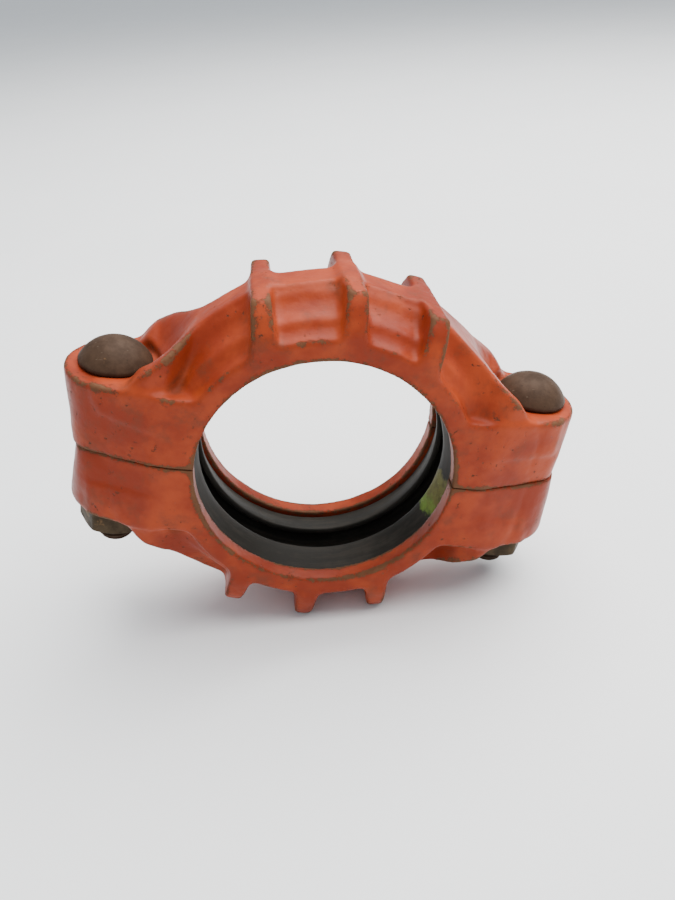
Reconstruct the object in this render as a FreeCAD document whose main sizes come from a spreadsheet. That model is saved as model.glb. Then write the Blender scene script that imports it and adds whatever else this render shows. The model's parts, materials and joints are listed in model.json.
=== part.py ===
import FreeCAD, Part
import os

import Sketcher
from FreeCAD import Placement, Rotation, Vector

# A two-bolt flexible coupling for grooved pipe of the 3 inch nominal size.
#
# Frame: the origin is the centre of the bore. +Y runs along the pipe, +X from one bolt to the
# other, and +Z up, square to the plane in which the two half housings meet. Millimetres.
#
# Both half housings come from one casting pattern. It is drawn once, as the upper half, and
# the lower half is the same body turned half a turn about the pipe's axis.

DIMENSIONS = {
    # the keys, which sit in the pipes' grooves, and the cavity that holds the gasket
    "half_width": 24.0,
    "key_radius": 43.2,
    "key_chamfer": 0.4,
    "key_inner_face": 17.0,
    "cavity_side_radius": 48.5,
    "cavity_radius": 53.5,
    "cavity_half_crown": 8.0,
    # the outside of the ring: a concave slope each side, below a narrow central spine
    "rim_radius": 50.3,
    "bead_radius": 55.2,
    "bead_offset": 16.2,
    "slope_radius": 58.3,
    "slope_offset": 9.9,
    "web_radius": 60.2,
    "web_offset": 7.5,
    "spine_radius": 63.4,
    "spine_half_width": 6.0,
    # three cross ribs on each half
    "rib_radius": 64.7,
    "rib_pitch_angle": 24.5,
    "rib_tip_half": 3.0,
    "rib_root_half": 3.8,
    "rib_root_radius": 50.0,
    "rib_top_offset": 17.5,
    "rib_shoulder_radius": 60.5,
    "rib_shoulder_offset": 20.5,
    # the bolt pads
    "bolt_offset": 71.0,
    "pad_height": 25.2,
    "pad_root": 44.0,
    "pad_bend": 50.0,
    "pad_bend_half": 24.0,
    "pad_cheek": 67.0,
    "pad_cheek_half": 19.4,
    "pad_corner": 80.0,
    "pad_corner_half": 15.0,
    "pad_foot_end": 83.6,
    "pad_top_end": 87.6,
    "pad_step": 1.2,
    # the shoulders that join each pad to the spine, and the valley between their two rims
    "shoulder_top": 28.0,
    "shoulder_top_height": 57.4,
    "shoulder_mid": 43.0,
    "shoulder_mid_height": 47.7,
    "shoulder_mid_half": 11.0,
    "shoulder_low": 53.5,
    "shoulder_low_height": 35.8,
    "shoulder_end": 66.0,
    "shoulder_half": 19.0,
    "shoulder_floor": 20.0,
    "seat_radius": 14.4,
    "valley_top": 40.0,
    "valley_top_height": 48.5,
    "valley_top_half": 2.5,
    "valley_mid": 50.0,
    "valley_mid_height": 35.0,
    "valley_mid_half": 9.0,
    "valley_low": 66.0,
    "valley_low_half": 13.4,
    "valley_flare": 1.35,
    "valley_ceiling": 66.0,
    # the oval hole through each pad
    "hole_half_width": 7.1,
    "hole_half_length": 9.1,
    # the track-head bolts, half inch thread
    "shank_radius": 6.3,
    "head_radius": 12.0,
    "head_edge": 1.2,
    "head_height": 8.8,
    "neck_half_width": 6.9,
    "neck_half_length": 8.9,
    "neck_length": 6.0,
    "bolt_length": 69.85,
    "bolt_point": 1.2,
    # the heavy hexagon nuts
    "nut_across_flats": 22.2,
    "nut_height": 12.3,
    "nut_bore_radius": 6.35,
    "nut_chamfer": 1.4,
    # the gasket, a ring of C section whose two lips close on the pipes
    "gasket_gap": 0.3,
    "lip_radius": 42.6,
    "lip_root_radius": 45.0,
    "lip_inner_offset": 5.2,
    "lip_outer_offset": 8.2,
    "lip_throat_radius": 44.8,
    "pressure_side_radius": 47.4,
    "pressure_side_offset": 12.6,
    "pressure_top_radius": 50.0,
    "pressure_top_offset": 8.0,
}


def make_sheet(document):
    """Writes the driving dimensions, one row each, with an alias for every value."""
    sheet = document.addObject("Spreadsheet::Sheet", "dims")
    for row, (alias, value) in enumerate(DIMENSIONS.items(), start=1):
        sheet.set(f"A{row}", alias)
        sheet.set(f"B{row}", str(value))
        sheet.setAlias(f"B{row}", alias)
    document.recompute()
    return sheet


def make_body(document, label):
    body = document.addObject("PartDesign::Body", label)
    body.Label = label
    return body


def origin_feature(body, role):
    """One of the body's own origin planes or axes, such as XY_Plane or Y_Axis."""
    for feature in body.Origin.OriginFeatures:
        if feature.Role == role:
            return feature
    raise ValueError(f"{body.Label} has no {role}")


def make_sketch(body, name, plane, height=None):
    """An empty sketch on an origin plane, or parallel to it at a height given as an expression."""
    sketch = body.newObject("Sketcher::SketchObject", name)
    sketch.AttachmentSupport = [(origin_feature(body, plane), "")]
    sketch.MapMode = "FlatFace"
    if height is not None:
        sketch.setExpression("AttachmentOffset.Base.z", height)
    return sketch


def bind_vertex(sketch, geometry, end, across, up):
    """Ties one end of a sketch element to its place, given by two expressions."""
    for kind, expression in (("DistanceX", across), ("DistanceY", up)):
        value = float(sketch.evalExpression(expression))
        index = sketch.addConstraint(Sketcher.Constraint(kind, geometry, end, value))
        sketch.setExpression(f"Constraints[{index}]", expression)


def draw_outline(sketch, corners, arcs=None):
    """A closed outline of straight sides. Each corner is a pair of expressions. arcs maps the
    number of a side to an expression for its radius, which makes that side an arc that swells
    to the right of its direction of travel."""
    arcs = arcs or {}
    count = len(corners)
    places = [[float(sketch.evalExpression(e)) for e in corner] for corner in corners]
    points = [Vector(across, up, 0) for across, up in places]
    first = sketch.GeometryCount
    for side, start in enumerate(points):
        end = points[(side + 1) % count]
        if side in arcs:
            draw_arc_side(sketch, start, end, arcs[side])
        else:
            sketch.addGeometry(Part.LineSegment(start, end))
    for side in range(count):
        following = (side + 1) % count
        joint = points[following]
        sketch.addConstraint(Sketcher.Constraint(
            "Coincident",
            first + side, nearest_end(sketch, first + side, joint),
            first + following, nearest_end(sketch, first + following, joint)))
        bind_vertex(sketch, first + side, nearest_end(sketch, first + side, points[side]),
                    *corners[side])


def nearest_end(sketch, geometry, point):
    """Which end of a sketch element, 1 or 2, lies at the point."""
    return min((1, 2), key=lambda end: (sketch.getPoint(geometry, end) - point).Length)


def draw_arc_side(sketch, start, end, radius):
    value = float(sketch.evalExpression(radius))
    chord = end - start
    rise = value - (value ** 2 - chord.Length ** 2 / 4) ** 0.5
    outward = Vector(chord.y, -chord.x, 0).normalize()
    geometry = sketch.addGeometry(Part.Arc(start, (start + end) * 0.5 + outward * rise, end))
    index = sketch.addConstraint(Sketcher.Constraint("Radius", geometry, value))
    sketch.setExpression(f"Constraints[{index}]", radius)


def draw_circle(sketch, across, up, radius):
    centre = Vector(float(sketch.evalExpression(across)), float(sketch.evalExpression(up)), 0)
    value = float(sketch.evalExpression(radius))
    circle = sketch.addGeometry(Part.Circle(centre, Vector(0, 0, 1), value))
    index = sketch.addConstraint(Sketcher.Constraint("Radius", circle, value))
    sketch.setExpression(f"Constraints[{index}]", radius)
    bind_vertex(sketch, circle, 3, across, up)


def draw_slot(sketch, across, half_width, half_length):
    """An oval slot along the sketch's first axis, centred at (across, 0)."""
    radius = float(sketch.evalExpression(half_width))
    for sign in ("+", "-"):
        centre = f"{across} {sign} ({half_length} - {half_width})"
        place = Vector(float(sketch.evalExpression(centre)), 0, 0)
        outward = Vector(radius if sign == "+" else -radius, 0, 0)
        reach = Vector(0, radius, 0)
        cap = sketch.addGeometry(Part.Arc(place - reach, place + outward, place + reach))
        bind_vertex(sketch, cap, 3, centre, "0")
        index = sketch.addConstraint(Sketcher.Constraint("Radius", cap, radius))
        sketch.setExpression(f"Constraints[{index}]", half_width)
        for end in (1, 2):
            index = sketch.addConstraint(Sketcher.Constraint("DistanceX", cap, end, place.x))
            sketch.setExpression(f"Constraints[{index}]", centre)
    right_cap, left_cap = sketch.GeometryCount - 2, sketch.GeometryCount - 1
    for flank in (-radius, radius):
        ends = [Vector(sketch.getPoint(cap, 3).x, flank, 0) for cap in (left_cap, right_cap)]
        side = sketch.addGeometry(Part.LineSegment(*ends))
        for end, cap in ((1, left_cap), (2, right_cap)):
            joint = nearest_end(sketch, cap, ends[end - 1])
            sketch.addConstraint(Sketcher.Constraint("Coincident", side, end, cap, joint))


def mirrored(corners):
    """Adds the reflection of a half outline in its second axis' zero line."""
    return corners + [(across, negated(up)) for across, up in reversed(corners)]


def negated(expression):
    return expression[1:] if expression.startswith("-") else f"-({expression})"


def pad(body, name, sketch, length, both_ways=False, downward=False):
    feature = body.newObject("PartDesign::Pad", name)
    feature.Profile = sketch
    feature.setExpression("Length", length)
    feature.Midplane = both_ways
    feature.Reversed = downward
    return feature


def pocket(body, name, sketch, length, upward=False):
    feature = body.newObject("PartDesign::Pocket", name)
    feature.Profile = sketch
    feature.setExpression("Length", length)
    feature.Reversed = upward
    return feature


def turned(body, kind, name, sketch, axis, angle=360):
    """A Revolution or a Groove about one of the sketch's own axes."""
    feature = body.newObject(f"PartDesign::{kind}", name)
    feature.Profile = sketch
    feature.ReferenceAxis = (sketch, [axis])
    feature.Angle = angle
    feature.Reversed = angle < 360
    return feature


def loft(body, kind, name, sections):
    """A ruled AdditiveLoft or SubtractiveLoft through the sections."""
    feature = body.newObject(f"PartDesign::{kind}", name)
    feature.Profile = sections[0]
    feature.Sections = sections[1:]
    feature.Ruled = True
    return feature


def add_ribs(body):
    """Three ribs square to the ring, narrower at the tip, with ends turned down to the rims."""
    section = make_sketch(body, "rib_section", "XZ_Plane")
    section.AttachmentOffset = Placement(Vector(), Rotation(Vector(0, 0, 1), 1))
    section.setExpression("AttachmentOffset.Rotation.Angle", "dims.rib_pitch_angle")
    draw_outline(section, [
        ("-dims.rib_root_half", "dims.rib_root_radius"),
        ("dims.rib_root_half", "dims.rib_root_radius"),
        ("dims.rib_tip_half", "dims.rib_radius"),
        ("-dims.rib_tip_half", "dims.rib_radius"),
    ])
    rib = pad(body, "rib", section, "2 * dims.half_width", both_ways=True)
    body.Document.recompute()

    pattern = body.newObject("PartDesign::PolarPattern", "rib_pattern")
    pattern.Originals = [rib]
    pattern.Axis = (origin_feature(body, "Y_Axis"), [""])
    pattern.Occurrences = 3
    pattern.setExpression("Angle", "2 * dims.rib_pitch_angle")
    body.Tip = pattern
    body.Document.recompute()

    ends = make_sketch(body, "rib_end_section", "XY_Plane")
    clear_radius = "dims.rib_radius + 4"
    clear_offset = "dims.half_width + 2"
    for mirror in (str, negated):
        draw_outline(ends, [
            ("dims.rim_radius", mirror(clear_offset)),
            ("dims.rim_radius", mirror("dims.half_width")),
            ("dims.rib_shoulder_radius", mirror("dims.rib_shoulder_offset")),
            ("dims.rib_radius", mirror("dims.rib_top_offset")),
            (clear_radius, mirror("dims.rib_top_offset")),
            (clear_radius, mirror(clear_offset)),
        ])
    turned(body, "Groove", "rib_ends", ends, "V_Axis")
    body.Document.recompute()


def add_ring(body):
    """The half ring, solid down to the keys, and the spine of straight runs on top of it."""
    section = make_sketch(body, "ring_section", "XY_Plane")
    draw_outline(section, mirrored([
        ("dims.key_radius", "-dims.half_width"),
        ("dims.rim_radius", "-dims.half_width"),
        ("dims.bead_radius", "-dims.bead_offset"),
        ("dims.slope_radius", "-dims.slope_offset"),
        ("dims.web_radius", "-dims.web_offset"),
    ]))
    turned(body, "Revolution", "ring", section, "V_Axis", angle=180)

    spine = make_sketch(body, "spine_outline", "XZ_Plane")
    pitch = "dims.rib_pitch_angle"
    crest = [(f"dims.spine_radius * sin({turn} * {pitch})", f"dims.spine_radius * cos({turn} * {pitch})")
             for turn in (1, 0, -1)]
    draw_outline(spine, [
        ("-dims.shoulder_mid", "dims.shoulder_floor"),
        ("dims.shoulder_mid", "dims.shoulder_floor"),
        ("dims.shoulder_mid", "dims.shoulder_mid_height"),
        *crest,
        ("-dims.shoulder_mid", "dims.shoulder_mid_height"),
    ])
    pad(body, "spine", spine, "2 * dims.spine_half_width", both_ways=True)
    body.Document.recompute()


def add_bolt_pad(body, side, step):
    """One bolt pad. It is square-ended at the joint face and round at the top. step is how
    much narrower each of its two faces stands than the pad on the other end."""
    sign = "-" if side == "left" else ""
    cheek = f"-(dims.pad_cheek_half - {step})"
    corner = f"-(dims.pad_corner_half - {step})"
    root = f"-(dims.pad_bend_half - {step})"
    end_side = 3
    sections = []
    for level, height, end in (("foot", None, "dims.pad_foot_end"),
                               ("top", "dims.pad_height", "dims.pad_top_end")):
        sketch = make_sketch(body, f"{side}_pad_{level}", "XY_Plane", height)
        corners = mirrored([
            (f"{sign}dims.pad_root", root),
            (f"{sign}dims.pad_bend", root),
            (f"{sign}dims.pad_cheek", cheek),
            (f"{sign}dims.pad_corner", corner),
        ])
        if side == "left":
            corners.reverse()
        reach = f"({end} - dims.pad_corner)"
        radius = f"({corner}^2 + {reach}^2) / (2 * {reach})"
        draw_outline(sketch, corners, arcs={end_side: radius})
        sections.append(sketch)
    loft(body, "AdditiveLoft", f"{side}_pad", sections)
    body.Document.recompute()


def add_shoulder(body, side):
    """The shoulder that widens from the spine into the two rims of a bolt pad."""
    sign = "-" if side == "left" else ""
    sections = []
    for name, place, half, height in (
            ("top", "dims.shoulder_top", "dims.spine_half_width", "dims.shoulder_top_height"),
            ("mid", "dims.shoulder_mid", "dims.shoulder_mid_half", "dims.shoulder_mid_height"),
            ("low", "dims.shoulder_low", "dims.shoulder_half", "dims.shoulder_low_height"),
            ("end", "dims.shoulder_end", "dims.shoulder_half", "dims.pad_height")):
        sketch = make_sketch(body, f"{side}_shoulder_{name}", "YZ_Plane", f"{sign}{place}")
        draw_outline(sketch, [(f"-{half}", "dims.shoulder_floor"), (half, "dims.shoulder_floor"),
                              (half, height), (f"-{half}", height)])
        sections.append(sketch)
    loft(body, "AdditiveLoft", f"{side}_shoulder", sections)
    body.Document.recompute()


def cut_valley(body, side):
    """The room for a bolt head or a nut, and the valley that runs from it up to the spine."""
    sign = "-" if side == "left" else ""
    seat = make_sketch(body, f"{side}_seat_outline", "XY_Plane", "dims.pad_height")
    draw_circle(seat, f"{sign}dims.bolt_offset", "0", "dims.seat_radius")
    pocket(body, f"{side}_seat", seat, "dims.valley_ceiling - dims.pad_height", upward=True)
    sections = []
    for name, place, half, height in (
            ("low", "dims.valley_low", "dims.valley_low_half", "dims.pad_height"),
            ("mid", "dims.valley_mid", "dims.valley_mid_half", "dims.valley_mid_height"),
            ("top", "dims.valley_top", "dims.valley_top_half", "dims.valley_top_height")):
        sketch = make_sketch(body, f"{side}_valley_{name}", "YZ_Plane", f"{sign}{place}")
        wide = f"dims.valley_flare * {half}"
        draw_outline(sketch, [(f"-{half}", height), (half, height),
                              (wide, "dims.valley_ceiling"), (f"-{wide}", "dims.valley_ceiling")])
        sections.append(sketch)
    loft(body, "SubtractiveLoft", f"{side}_valley", sections)
    body.Document.recompute()


def cut_bore(body):
    """The two keys and, between them, the cavity that holds the gasket."""
    section = make_sketch(body, "bore_section", "XY_Plane")
    draw_outline(section, mirrored([
        ("0", "-(dims.half_width + 2)"),
        ("dims.key_radius + dims.key_chamfer", "-(dims.half_width + 2)"),
        ("dims.key_radius + dims.key_chamfer", "-dims.half_width"),
        ("dims.key_radius", "-(dims.half_width - dims.key_chamfer)"),
        ("dims.key_radius", "-dims.key_inner_face"),
        ("dims.cavity_side_radius", "-dims.key_inner_face"),
        ("dims.cavity_radius", "-dims.cavity_half_crown"),
    ]))
    turned(body, "Groove", "bore", section, "V_Axis")
    body.Document.recompute()


def cut_bolt_holes(body):
    outline = make_sketch(body, "bolt_hole_outline", "XY_Plane")
    for place in ("-dims.bolt_offset", "dims.bolt_offset"):
        draw_slot(outline, place, "dims.hole_half_width", "dims.hole_half_length")
    pocket(body, "bolt_holes", outline, "dims.pad_height + 2", upward=True)
    body.Document.recompute()


def make_half_housing(document, label):
    """One casting, drawn as the upper half: keyed half ring, spine, ribs and two bolt pads."""
    body = make_body(document, label)
    add_ribs(body)
    add_ring(body)
    for side, step in (("left", "0"), ("right", "dims.pad_step")):
        add_bolt_pad(body, side, step)
        add_shoulder(body, side)
    for side in ("left", "right"):
        cut_valley(body, side)
    cut_bore(body)
    cut_bolt_holes(body)
    return body


def make_gasket(document):
    """The rubber ring. Its hollow side opens inwards, between two lips that face each other."""
    body = make_body(document, "gasket")
    section = make_sketch(body, "gasket_section", "XY_Plane")
    gap = "dims.gasket_gap"
    draw_outline(section, mirrored([
        ("dims.pressure_top_radius", "-dims.pressure_top_offset"),
        ("dims.pressure_side_radius", "-dims.pressure_side_offset"),
        ("dims.lip_throat_radius", "-dims.lip_inner_offset"),
        ("dims.lip_radius", "-dims.lip_inner_offset"),
        ("dims.lip_radius", "-dims.lip_outer_offset"),
        ("dims.lip_root_radius", f"-(dims.key_inner_face - {gap})"),
        (f"dims.cavity_side_radius - {gap}", f"-(dims.key_inner_face - {gap})"),
        (f"dims.cavity_radius - {gap}", "-dims.cavity_half_crown"),
    ]))
    turned(body, "Revolution", "gasket_ring", section, "V_Axis")
    return body


def make_bolt(document, label, side):
    """A domed track-head bolt with an oval neck, hanging down through both pads."""
    body = make_body(document, label)
    body.setExpression("Placement.Base.x", f"{side} * dims.bolt_offset")
    profile = make_sketch(body, "turned_profile", "XZ_Plane")
    tip = "dims.pad_height - dims.bolt_length"
    edge = "dims.pad_height + dims.head_edge"
    rise = "(dims.head_height - dims.head_edge)"
    draw_outline(profile, [
        ("0", tip),
        ("dims.shank_radius - dims.bolt_point", tip),
        ("dims.shank_radius", f"{tip} + dims.bolt_point"),
        ("dims.shank_radius", "dims.pad_height"),
        ("dims.head_radius", "dims.pad_height"),
        ("dims.head_radius", edge),
        ("0", "dims.pad_height + dims.head_height"),
    ], arcs={5: f"(dims.head_radius^2 + {rise}^2) / (2 * {rise})"})
    turned(body, "Revolution", "head_and_shank", profile, "V_Axis")
    body.Document.recompute()

    neck = make_sketch(body, "neck_outline", "XY_Plane", "dims.pad_height")
    draw_slot(neck, "0", "dims.neck_half_width", "dims.neck_half_length")
    pad(body, "neck", neck, "dims.neck_length", downward=True)
    return body


def make_nut(document, label, side):
    """A heavy hexagon nut against the seat of the lower pad, chamfered at its outer face."""
    body = make_body(document, label)
    body.setExpression("Placement.Base.x", f"{side} * dims.bolt_offset")
    outline = make_sketch(body, "hexagon", "XY_Plane", "-dims.pad_height")
    corner_radius = "dims.nut_across_flats / (2 * cos(30))"
    draw_outline(outline, [(f"{corner_radius} * cos({60 * turn})", f"{corner_radius} * sin({60 * turn})")
                           for turn in range(6)])
    pad(body, "hexagon_block", outline, "dims.nut_height", downward=True)
    body.Document.recompute()

    corner = make_sketch(body, "corner_section", "XZ_Plane")
    outer_face = "-(dims.pad_height + dims.nut_height)"
    draw_outline(corner, [
        ("dims.nut_across_flats / 2", f"{outer_face} - 1"),
        ("dims.nut_across_flats / 2", outer_face),
        (f"{corner_radius} + 0.2", f"{outer_face} + dims.nut_chamfer"),
        (f"{corner_radius} + 0.2", f"{outer_face} - 1"),
    ])
    turned(body, "Groove", "corner_chamfer", corner, "V_Axis")
    body.Document.recompute()

    thread = make_sketch(body, "thread_outline", "XY_Plane", "-dims.pad_height")
    draw_circle(thread, "0", "0", "dims.nut_bore_radius")
    pocket(body, "thread_bore", thread, "dims.nut_height + 1")
    return body


def check_document(document, bodies):
    """Stops if an object failed, or if a sub-part's shape is empty or not sound."""
    failed = [item.Name for item in document.Objects
              if "Invalid" in item.State or "Error" in item.State]
    if failed:
        raise RuntimeError(f"failed objects: {failed}")
    for body in bodies:
        if body.Shape.isNull() or not body.Shape.isValid() or len(body.Shape.Solids) != 1:
            raise RuntimeError(f"{body.Label} isn't one valid solid")


def main():
    document = FreeCAD.newDocument("pipe_coupling")
    make_sheet(document)
    upper = make_half_housing(document, "upper_housing")
    lower = make_half_housing(document, "lower_housing")
    lower.Placement = Placement(Vector(), Rotation(Vector(0, 1, 0), 180))
    bodies = [
        upper,
        lower,
        make_gasket(document),
        make_bolt(document, "left_bolt", -1),
        make_bolt(document, "right_bolt", 1),
        make_nut(document, "left_nut", -1),
        make_nut(document, "right_nut", 1),
    ]
    document.recompute()
    check_document(document, bodies)
    os.makedirs("parts", exist_ok=True)
    for body in bodies:
        body.Shape.exportStep(f"parts/{body.Label}.step")
        print(f"{body.Label}: {body.Shape.Volume / 1000:.1f} cm3")


main()
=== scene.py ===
import json
import math

import bmesh
import bpy
import numpy as np
from mathutils import Matrix, Vector


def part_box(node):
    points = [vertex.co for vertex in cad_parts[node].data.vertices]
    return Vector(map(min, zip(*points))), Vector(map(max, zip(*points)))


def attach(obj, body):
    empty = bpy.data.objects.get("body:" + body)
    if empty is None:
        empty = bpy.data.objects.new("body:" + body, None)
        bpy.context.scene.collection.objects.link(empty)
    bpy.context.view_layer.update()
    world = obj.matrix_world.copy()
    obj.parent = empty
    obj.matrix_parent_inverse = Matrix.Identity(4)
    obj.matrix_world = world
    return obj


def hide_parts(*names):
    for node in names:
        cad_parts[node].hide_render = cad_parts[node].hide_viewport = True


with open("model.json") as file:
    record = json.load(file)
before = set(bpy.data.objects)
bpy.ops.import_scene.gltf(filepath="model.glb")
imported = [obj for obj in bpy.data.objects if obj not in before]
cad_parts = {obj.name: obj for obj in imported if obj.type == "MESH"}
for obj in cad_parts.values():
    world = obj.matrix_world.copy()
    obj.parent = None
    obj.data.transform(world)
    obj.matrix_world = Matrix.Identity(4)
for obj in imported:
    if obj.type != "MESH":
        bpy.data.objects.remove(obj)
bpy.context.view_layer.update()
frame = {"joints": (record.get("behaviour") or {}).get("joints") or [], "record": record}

# A two-bolt coupling for grooved pipe, standing on its lower ribs.
#
# Frame: +Y along the pipe, +X from the left bolt to the right one, +Z along the bolts. Blender
# holds metres. The shapes below are worked out in millimetres and scaled as they become meshes.

MM = 0.001


def box_mm(node):
    """The lowest and highest corners of a CAD node's box, in millimetres."""
    low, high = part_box(node)
    return low / MM, high / MM


def joint_place_mm(name):
    """Where a joint's axis is, in millimetres."""
    place = next(joint["pos_m"] for joint in frame["joints"] if joint["name"] == name)
    return Vector(place) / MM


def mount_size(name, size):
    """One of a mount's sizes, in millimetres."""
    mounts = frame["record"]["mounts"]
    return next(mount["dims"][size] for mount in mounts if mount["name"] == name)


# Sizes read from the frame
HOUSING_HIGH = box_mm("upper_housing")[1]
GASKET_HIGH = box_mm("gasket")[1]
BOLT_LOW, BOLT_HIGH = box_mm("right_bolt")
NUT_LOW, NUT_HIGH = box_mm("right_nut")
HALF_WIDTH = HOUSING_HIGH.y
RIB_RADIUS = HOUSING_HIGH.z
PAD_TOP_END = HOUSING_HIGH.x
BOLT_OFFSET = joint_place_mm("right_nut_spin").x
PAD_HEIGHT = -joint_place_mm("right_nut_spin").z
KEY_RADIUS = mount_size("front_key", "r_mm")
LIP_RADIUS = mount_size("pipe_seal", "r_mm")
THREAD_PITCH = 2 * math.pi / MM / next(
    coupling["ratio"] for coupling in frame["record"]["behaviour"]["couplings"]
    if coupling["joint"] == "left_nut_spin")

# ---------------------------------------------------------------------------------------
# Solids from distance fields


class Grid:
    """Evenly spaced sample points of a box, in millimetres."""

    def __init__(self, low, high, step):
        self.low = np.array(low, np.float32)
        self.step = step
        axes = [np.arange(a, b + step, step, dtype=np.float32) for a, b in zip(low, high)]
        self.x, self.y, self.z = np.meshgrid(*axes, indexing="ij", sparse=True)

    def read(self, field, points):
        """The field at any points inside the box, by trilinear interpolation."""
        place = (points - self.low) / self.step
        cell = np.clip(np.floor(place).astype(int), 0, np.array(field.shape) - 2)
        part = place - cell
        total = np.zeros(len(points), np.float32)
        for corner in np.ndindex(2, 2, 2):
            weight = np.prod(np.where(corner, part, 1 - part), axis=1)
            index = cell + corner
            total += weight * field[index[:, 0], index[:, 1], index[:, 2]]
        return total

    def slope(self, field, points):
        """The field's gradient at the points."""
        reach = self.step * 0.5
        columns = []
        for axis in range(3):
            shift = np.zeros(3, np.float32)
            shift[axis] = reach
            columns.append(self.read(field, points + shift) - self.read(field, points - shift))
        return np.stack(columns, axis=1) / (2 * reach)


def join(a, b, blend):
    """The union of two solids, with a fillet about blend wide where they meet."""
    share = np.clip(0.5 + 0.5 * (b - a) / blend, 0, 1)
    return b + (a - b) * share - blend * share * (1 - share)


def cut(a, b, blend):
    """a without b, its new edges rounded over about blend."""
    return -join(-a, b, blend)


def meet(a, b, blend):
    """What a and b share, with the edge between them rounded."""
    return -join(-a, -b, blend)


def polygon_distance(u, v, corners):
    """Signed distance to a closed polygon, negative inside."""
    nearest, inside = np.float32(1e9), False
    for (au, av), (bu, bv) in zip(corners, corners[1:] + corners[:1]):
        eu, ev = bu - au, bv - av
        along = np.clip(((u - au) * eu + (v - av) * ev) / (eu * eu + ev * ev), 0, 1)
        nearest = np.minimum(nearest, (u - au - eu * along) ** 2 + (v - av - ev * along) ** 2)
        if ev:
            spans = (av <= v) != (bv <= v)
            inside = inside ^ (spans & (u < au + (v - av) * eu / ev))
    return np.where(inside, -1, 1) * np.sqrt(nearest)


def blurred(field, sigma, step):
    """The field smoothed by a Gaussian, which rounds every edge and corner alike."""
    reach = max(1, int(round(2.5 * sigma / step)))
    weights = np.exp(-0.5 * (np.arange(-reach, reach + 1) * step / sigma) ** 2)
    weights /= weights.sum()
    for axis in range(3):
        pad = [(reach, reach) if a == axis else (0, 0) for a in range(3)]
        wide = np.pad(field, pad, mode="edge")
        size = field.shape[axis]
        field = sum(w * np.take(wide, np.arange(k, k + size), axis=axis)
                    for k, w in enumerate(weights))
    return field.astype(np.float32)


def surface_net(field, grid):
    """Points and quads of the surface where the field is zero, by naive surface nets."""
    inside = field < 0
    cells = tuple(n - 1 for n in field.shape)
    block = tuple(slice(0, n) for n in cells)
    count = sum(inside[tuple(slice(c, c + n) for c, n in zip(corner, cells))].astype(np.int8)
                for corner in np.ndindex(2, 2, 2))
    active = np.argwhere((count > 0) & (count < 8))
    number = np.full(cells, -1, np.int32)
    number[tuple(active.T)] = np.arange(len(active))

    total = np.zeros((len(active), 3), np.float32)
    hits = np.zeros(len(active), np.float32)
    for axis in range(3):
        for corner in np.ndindex(2, 2, 2):
            if corner[axis]:
                continue
            start = active + corner
            end = start + np.eye(3, dtype=int)[axis]
            fa, fb = field[tuple(start.T)], field[tuple(end.T)]
            crossed = (fa < 0) != (fb < 0)
            where = np.where(crossed, fa / np.where(crossed, fa - fb, 1), 0)
            point = np.array(corner, np.float32) + np.eye(3, dtype=np.float32)[axis] * where[:, None]
            total += point * crossed[:, None]
            hits += crossed
    points = (active + total / hits[:, None]) * grid.step + grid.low

    quads = []
    for axis in range(3):
        u, v = (axis + 1) % 3, (axis + 2) % 3
        low = [slice(1, n) for n in cells]
        low[axis] = slice(0, cells[axis])
        high = list(low)
        high[axis] = slice(1, cells[axis] + 1)
        a, b = inside[tuple(low)], inside[tuple(high)]
        edge = np.argwhere(a != b)
        outward = a[tuple(edge.T)]
        base = edge + [0 if k == axis else 1 for k in range(3)]
        corners = []
        for du, dv in ((-1, -1), (0, -1), (0, 0), (-1, 0)):
            cell = base.copy()
            cell[:, u] += du
            cell[:, v] += dv
            corners.append(number[tuple(cell.T)])
        faces = np.stack(corners, axis=1)
        quads.append(np.where(outward[:, None], faces, faces[:, ::-1]))
    return points.astype(np.float32), np.concatenate(quads)


def settled(points, field, grid, rounds=3):
    """Moves the points onto the field's zero surface."""
    for _ in range(rounds):
        slope = grid.slope(field, points)
        size = np.maximum((slope ** 2).sum(1), 0.25)
        move = slope * (grid.read(field, points) / size)[:, None]
        points = points - np.clip(move, -0.3 * grid.step, 0.3 * grid.step)
    return points


def speckle(points, cell, seed):
    """Smooth noise from -1 to 1 whose lumps are about a cell across."""
    place = points / cell + 1000
    base = np.floor(place).astype(np.int64)
    part = place - base
    part = part * part * (3 - 2 * part)
    total = np.zeros(len(points))
    for corner in np.ndindex(2, 2, 2):
        index = base + corner
        key = (index * [73856093, 19349663, 83492791]).sum(1) + seed * 2654435761
        key = (key ^ (key >> 13)) * 1274126177 & 0xFFFFFFFF
        value = ((key ^ (key >> 16)) & 0xFFFF) / 32767.5 - 1
        total += value * np.prod(np.where(corner, part, 1 - part), axis=1)
    return total


def ramp(value, low, high):
    """0 below low, 1 above high, smooth between."""
    share = np.clip((value - low) / (high - low), 0, 1)
    return share * share * (3 - 2 * share)


def mesh_object(name, points_mm, faces, marks=None):
    """A smooth mesh object from points in millimetres. marks is a pair of values for each
    point, kept as the red and green of the colour attribute that the enamel reads."""
    mesh = bpy.data.meshes.new(name)
    mesh.from_pydata((points_mm * MM).tolist(), [], faces)
    mesh.polygons.foreach_set("use_smooth", [True] * len(mesh.polygons))
    if marks is not None:
        layer = mesh.color_attributes.new("marks", "FLOAT_COLOR", "POINT")
        rgba = np.ones((len(points_mm), 4), np.float32)
        rgba[:, :2] = marks
        layer.data.foreach_set("color", rgba.ravel())
    mesh.validate()
    mesh.update()
    piece = bpy.data.objects.new(name, mesh)
    bpy.context.scene.collection.objects.link(piece)
    return piece


# ---------------------------------------------------------------------------------------
# The half housing casting, drawn as the upper half

RIB_PITCH, RIB_TILT = math.radians(24.5), math.radians(9.0)
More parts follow.
